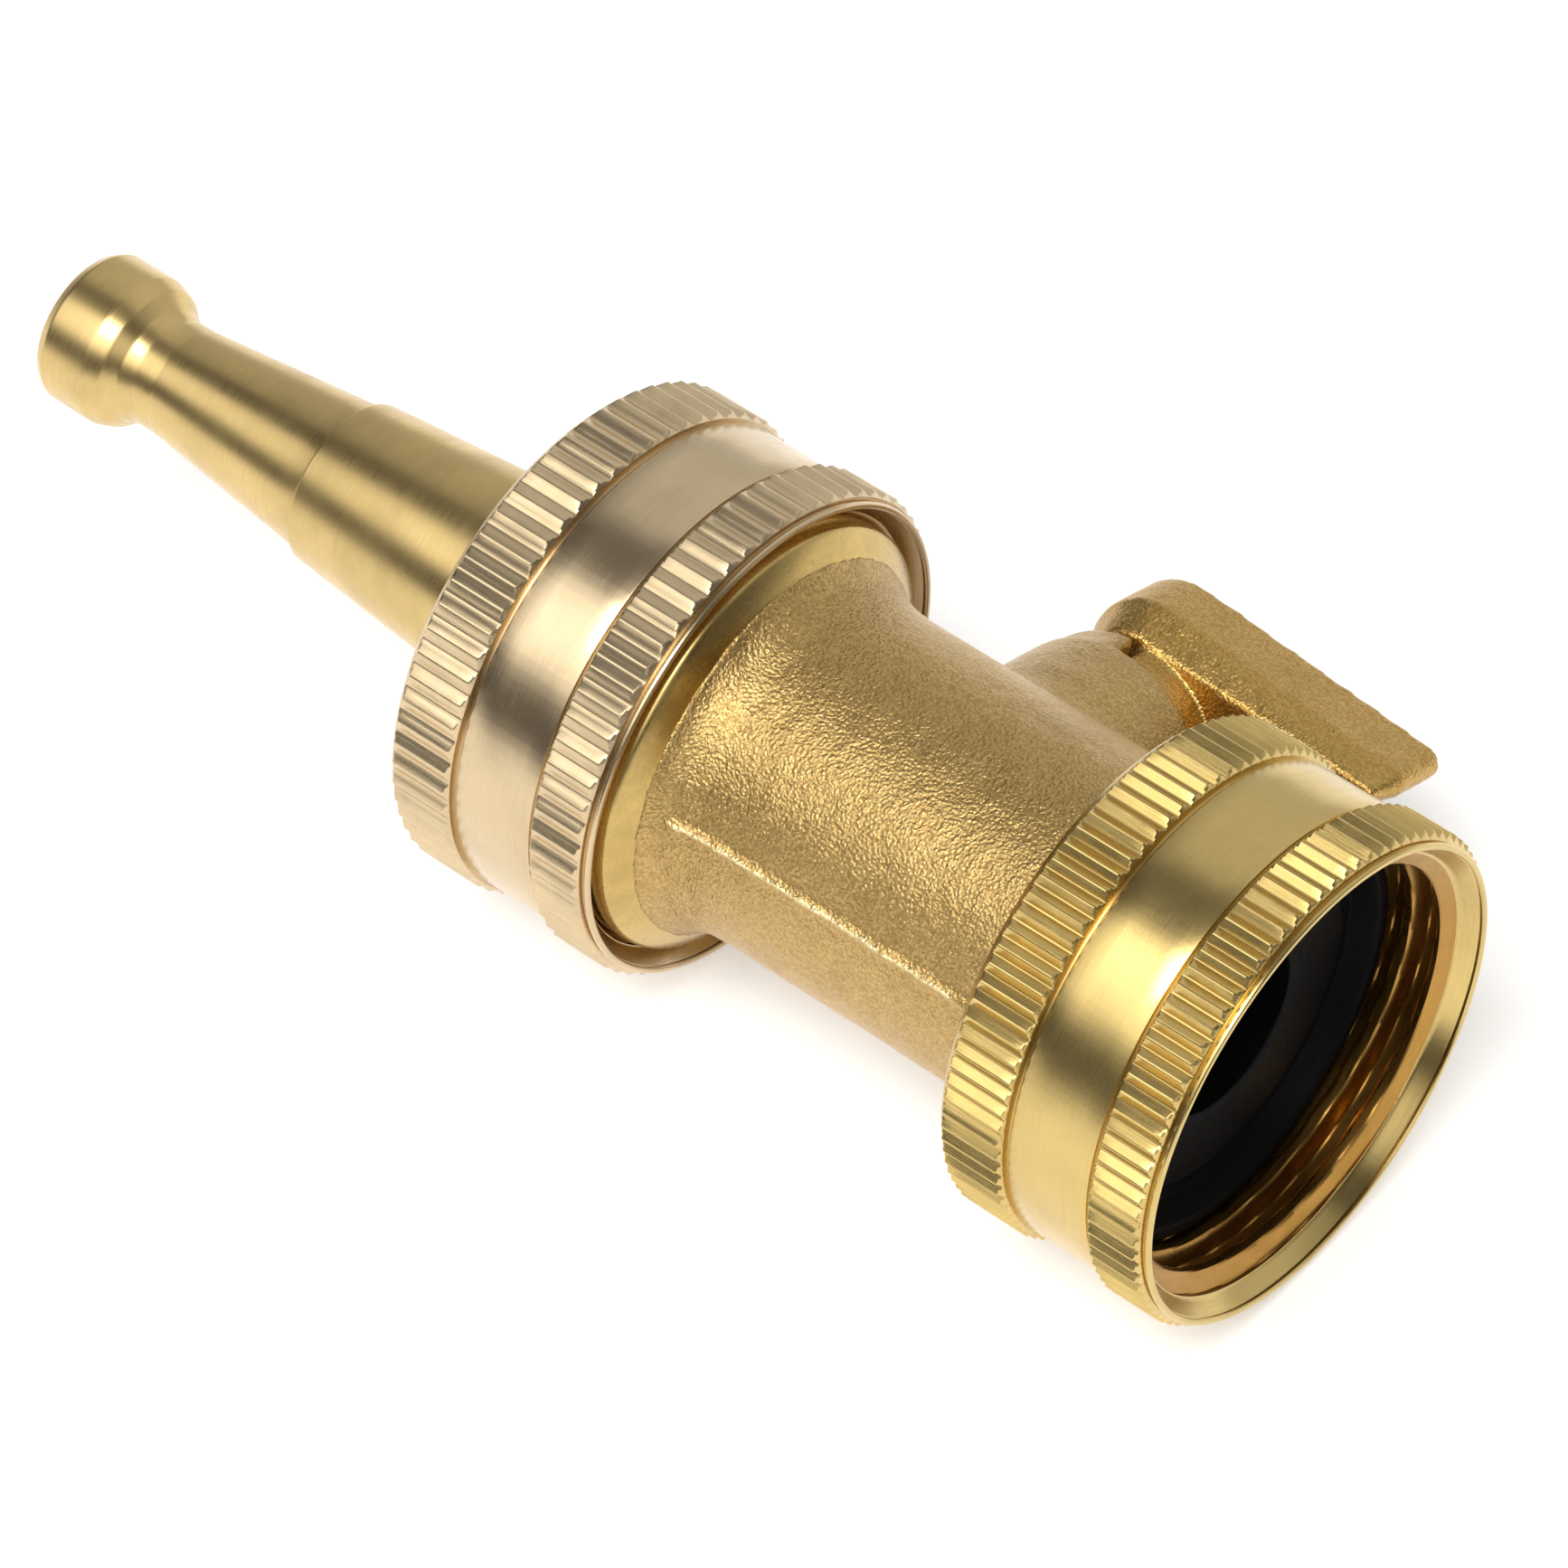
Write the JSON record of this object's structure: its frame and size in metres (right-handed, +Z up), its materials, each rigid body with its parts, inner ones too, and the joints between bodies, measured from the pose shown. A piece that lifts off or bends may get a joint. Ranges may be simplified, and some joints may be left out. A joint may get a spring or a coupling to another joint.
{
  "type": "fire hose nozzle",
  "caption": "Brass straight-jet hose nozzle with a quarter-turn shut-off ball valve, a short wedge lever and knurled swivel nuts for hose thread.",
  "frame": {"origin": "centre of the bounding box in X and Y, at the level of the surface that the nozzle lies on", "axes": "+X along the waterway towards the jet, +Z up as the nozzle lies on its two nuts and the edge of its lever, the lever on the -Y side"},
  "size_m": [0.0882, 0.0398, 0.03],
  "materials": {
    "cast_brass": "sand-cast, matt and grainy",
    "yellow_brass": "satin, machined",
    "pale_brass": "satin, machined, slightly pink",
    "turned_brass": "lathe-turned, semi-bright",
    "chrome": "polished plating",
    "steel": "bright stainless",
    "rubber": "moulded, satin black",
    "ptfe": "white, waxy"
  },
  "bodies": {
    "valve": {"valve_body": "cast_brass", "seat_front": "ptfe", "seat_rear": "ptfe", "tailpiece": "turned_brass", "tailpiece_oring": "rubber", "inlet_swivel_oring": "rubber"},
    "lever_and_ball": {"lever": "cast_brass", "lever_washer": "steel", "lever_screw": "steel", "stem": "yellow_brass", "stem_oring_lower": "rubber", "stem_oring_upper": "rubber", "stem_thrust_washer": "ptfe", "stem_washer": "steel", "ball": "chrome"},
    "inlet_swivel": {"inlet_nut": "yellow_brass", "hose_washer": "rubber"},
    "jet": {"nozzle": "turned_brass", "front_washer": "rubber", "nozzle_slip_ring": "ptfe"},
    "front_swivel": {"front_nut": "pale_brass"}
  },
  "joints": [
    {"name": "lever_turn", "type": "hinge", "parent": "valve", "child": "lever_and_ball", "pos_m": [-0.01755, 0.00491, 0.015], "axis": [0, -0.9363, -0.3513], "range_deg": [0, 90]},
    {"name": "inlet_nut_turn", "type": "hinge", "parent": "valve", "child": "inlet_swivel", "pos_m": [-0.0371, 0.00491, 0.015], "axis": [1, 0, 0], "continuous": true},
    {"name": "nozzle_slide", "type": "slide", "parent": "valve", "child": "jet", "axis": [1, 0, 0], "range_m": [0, 0.00663]},
    {"name": "front_nut_turn", "type": "hinge", "parent": "jet", "child": "front_swivel", "pos_m": [0.0013, 0.00491, 0.015], "axis": [1, 0, 0], "range_deg": [0, 1080]}
  ],
  "couplings": [
    {"joint": "nozzle_slide", "follows": "front_nut_turn", "m_per_rad": 0.00035152}
  ]
}
